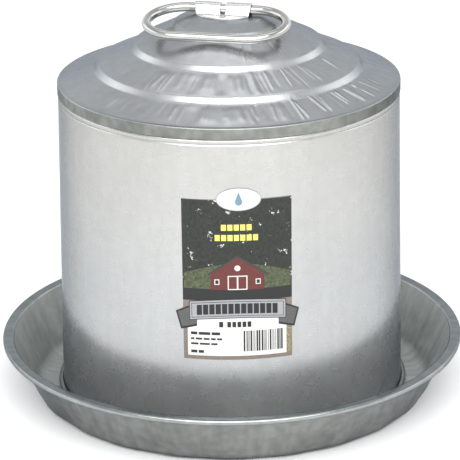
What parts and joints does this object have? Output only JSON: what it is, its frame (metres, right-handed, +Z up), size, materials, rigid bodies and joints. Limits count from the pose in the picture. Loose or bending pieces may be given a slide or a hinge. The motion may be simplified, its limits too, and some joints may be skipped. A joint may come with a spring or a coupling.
{
  "type": "poultry waterer fount",
  "caption": "Double-wall galvanized poultry fount: open tank fixed in a round drinking pan, under a lift-off cover with a stepped cone roof and a folding wire bail.",
  "frame": {"origin": "on the ground under the centre of the drinking pan", "axes": "+Z up along the tank's axis, -Y towards the label, +X to the right as the label is read"},
  "size_m": [0.3112, 0.3112, 0.2667],
  "materials": {
    "pan_steel": "galvanized, dull mottled grey",
    "tank_steel": "galvanized, satin",
    "cover_steel": "galvanized, bright satin with fine spangle",
    "roof_steel": "galvanized, drawn, with radial wrinkles",
    "clip_steel": "bright zinc plated",
    "handle_wire": "bright zinc plated wire",
    "rivet_steel": "satin",
    "valve_steel": "satin",
    "valve_brass": "satin",
    "washer_rubber": "matt",
    "valve_rubber": "matt",
    "sealant": "matt grey sealant",
    "label_paper": "printed coated paper"
  },
  "bodies": {
    "base": {"pan": "pan_steel", "tank_wall": "tank_steel", "tank_bottom": "tank_steel", "tank_sealant": "sealant", "base_rivets": "rivet_steel", "base_washers": "washer_rubber", "lock_studs": "rivet_steel", "valve_seat": "valve_brass", "valve_bracket": "valve_steel", "valve_pin": "valve_steel"},
    "valve": {"valve_lever": "valve_steel", "valve_pad": "valve_rubber", "valve_pad_rivet": "rivet_steel"},
    "cover": {"cover_wall": "cover_steel", "cover_roof": "roof_steel", "roof_sealant": "sealant", "lock_clips": "cover_steel", "valve_pusher": "cover_steel", "handle_clip": "clip_steel", "label": "label_paper"},
    "bail": {"handle": "handle_wire"}
  },
  "joints": [
    {"name": "cover_lift", "type": "slide", "parent": "base", "child": "cover", "axis": [0, 0, 1], "range_m": [0, 0.225]},
    {"name": "bail_swing", "type": "hinge", "parent": "cover", "child": "bail", "pos_m": [-0.0025, 0.003, 0.2624], "axis": [-0.9744, 0.225, 0], "range_deg": [0, 200]},
    {"name": "valve_open", "type": "hinge", "parent": "base", "child": "valve", "pos_m": [0, 0.1105, 0.03], "axis": [1, 0, 0], "range_deg": [0, 8], "stiffness_Nm_per_rad": 0.02, "springref_deg": -11.46}
  ]
}
